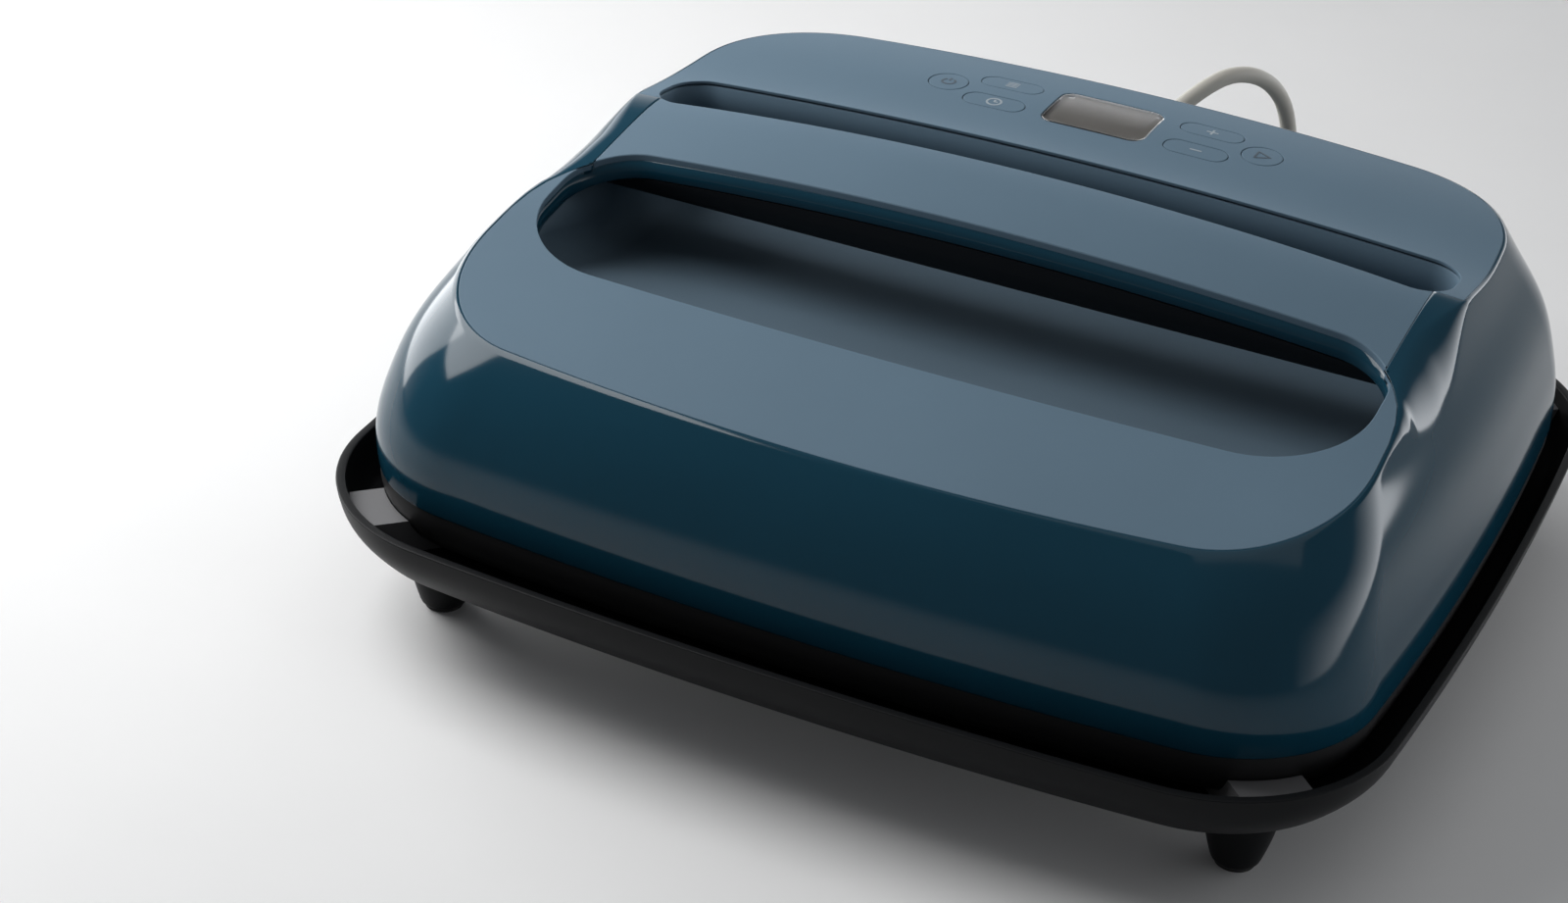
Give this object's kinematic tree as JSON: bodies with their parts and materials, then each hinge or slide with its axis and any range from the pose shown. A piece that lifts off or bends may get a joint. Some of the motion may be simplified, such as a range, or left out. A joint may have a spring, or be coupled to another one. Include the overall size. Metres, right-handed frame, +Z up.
{
  "type": "heat press",
  "caption": "Two-handed heat press with a bridge handle over a hand opening, a display and push buttons, standing in its safety base tray, with its cord coiled behind.",
  "frame": {"origin": "middle of the footprint, on the surface the base stands on", "axes": "+X to the right of the person facing the front, +Y to the rear, where the cord leaves, +Z up"},
  "size_m": [0.3606, 0.4686, 0.135],
  "materials": {
    "gloss_shell": "gloss, deep teal",
    "matte_cover": "fine matte grain, slate blue",
    "button_plastic": "fine matte, slate blue",
    "dark_plastic": "satin black",
    "well_plastic": "fine matte, dark blue grey",
    "tray_plastic": "satin charcoal",
    "pad_plastic": "matte light grey",
    "foot_rubber": "matte black",
    "plate_metal": "fine satin",
    "steel": "brushed",
    "insulation": "ceramic fibre board",
    "board_green": "coated circuit board",
    "part_black": "moulded",
    "window": "clear, grey tint",
    "module_grey": "gloss",
    "cord_plastic": "smooth pale grey PVC",
    "tie_plastic": "moulded",
    "brass_pins": "polished"
  },
  "bodies": {
    "base": {"base_tray": "tray_plastic", "rest_pads": "pad_plastic", "feet": "tray_plastic", "foot_pads": "foot_rubber", "foot_screws": "steel", "cord_coil": "cord_plastic", "coil_ties": "tie_plastic", "plug_body": "cord_plastic", "plug_pins": "brass_pins"},
    "press": {"upper_shell": "gloss_shell", "front_panel": "matte_cover", "handle_cover": "matte_cover", "handle_grip": "dark_plastic", "handle_screws": "steel", "hand_well": "well_plastic", "control_panel": "matte_cover", "display_window": "window", "display_module": "module_grey", "control_board": "board_green", "tact_switches": "part_black", "lower_band": "dark_plastic", "shell_screws": "steel", "heat_plate": "plate_metal", "heating_element": "steel", "insulation_board": "insulation", "heat_shield": "steel", "plate_standoffs": "steel", "thermal_cutout": "part_black", "temperature_sensor": "steel", "power_board": "board_green", "relay": "part_black", "terminal_block": "part_black", "strain_relief": "cord_plastic", "cord_run": "cord_plastic"},
    "power_button": {"power_button": "button_plastic"},
    "menu_button": {"menu_button": "button_plastic"},
    "timer_button": {"timer_button": "button_plastic"},
    "plus_button": {"plus_button": "button_plastic"},
    "minus_button": {"minus_button": "button_plastic"},
    "start_button": {"start_button": "button_plastic"}
  },
  "joints": [
    {"name": "press_lift", "type": "slide", "parent": "base", "child": "press", "axis": [0, 0, 1], "range_m": [0, 0.09]},
    {"name": "power_button_travel", "type": "slide", "parent": "press", "child": "power_button", "axis": [0, 0, -1], "range_m": [0, 0.0008], "stiffness_N_per_m": 1500},
    {"name": "menu_button_travel", "type": "slide", "parent": "press", "child": "menu_button", "axis": [0, 0, -1], "range_m": [0, 0.0008], "stiffness_N_per_m": 1500},
    {"name": "timer_button_travel", "type": "slide", "parent": "press", "child": "timer_button", "axis": [0, 0, -1], "range_m": [0, 0.0008], "stiffness_N_per_m": 1500},
    {"name": "plus_button_travel", "type": "slide", "parent": "press", "child": "plus_button", "axis": [0, 0, -1], "range_m": [0, 0.0008], "stiffness_N_per_m": 1500},
    {"name": "minus_button_travel", "type": "slide", "parent": "press", "child": "minus_button", "axis": [0, 0, -1], "range_m": [0, 0.0008], "stiffness_N_per_m": 1500},
    {"name": "start_button_travel", "type": "slide", "parent": "press", "child": "start_button", "axis": [0, 0, -1], "range_m": [0, 0.0008], "stiffness_N_per_m": 1500}
  ]
}
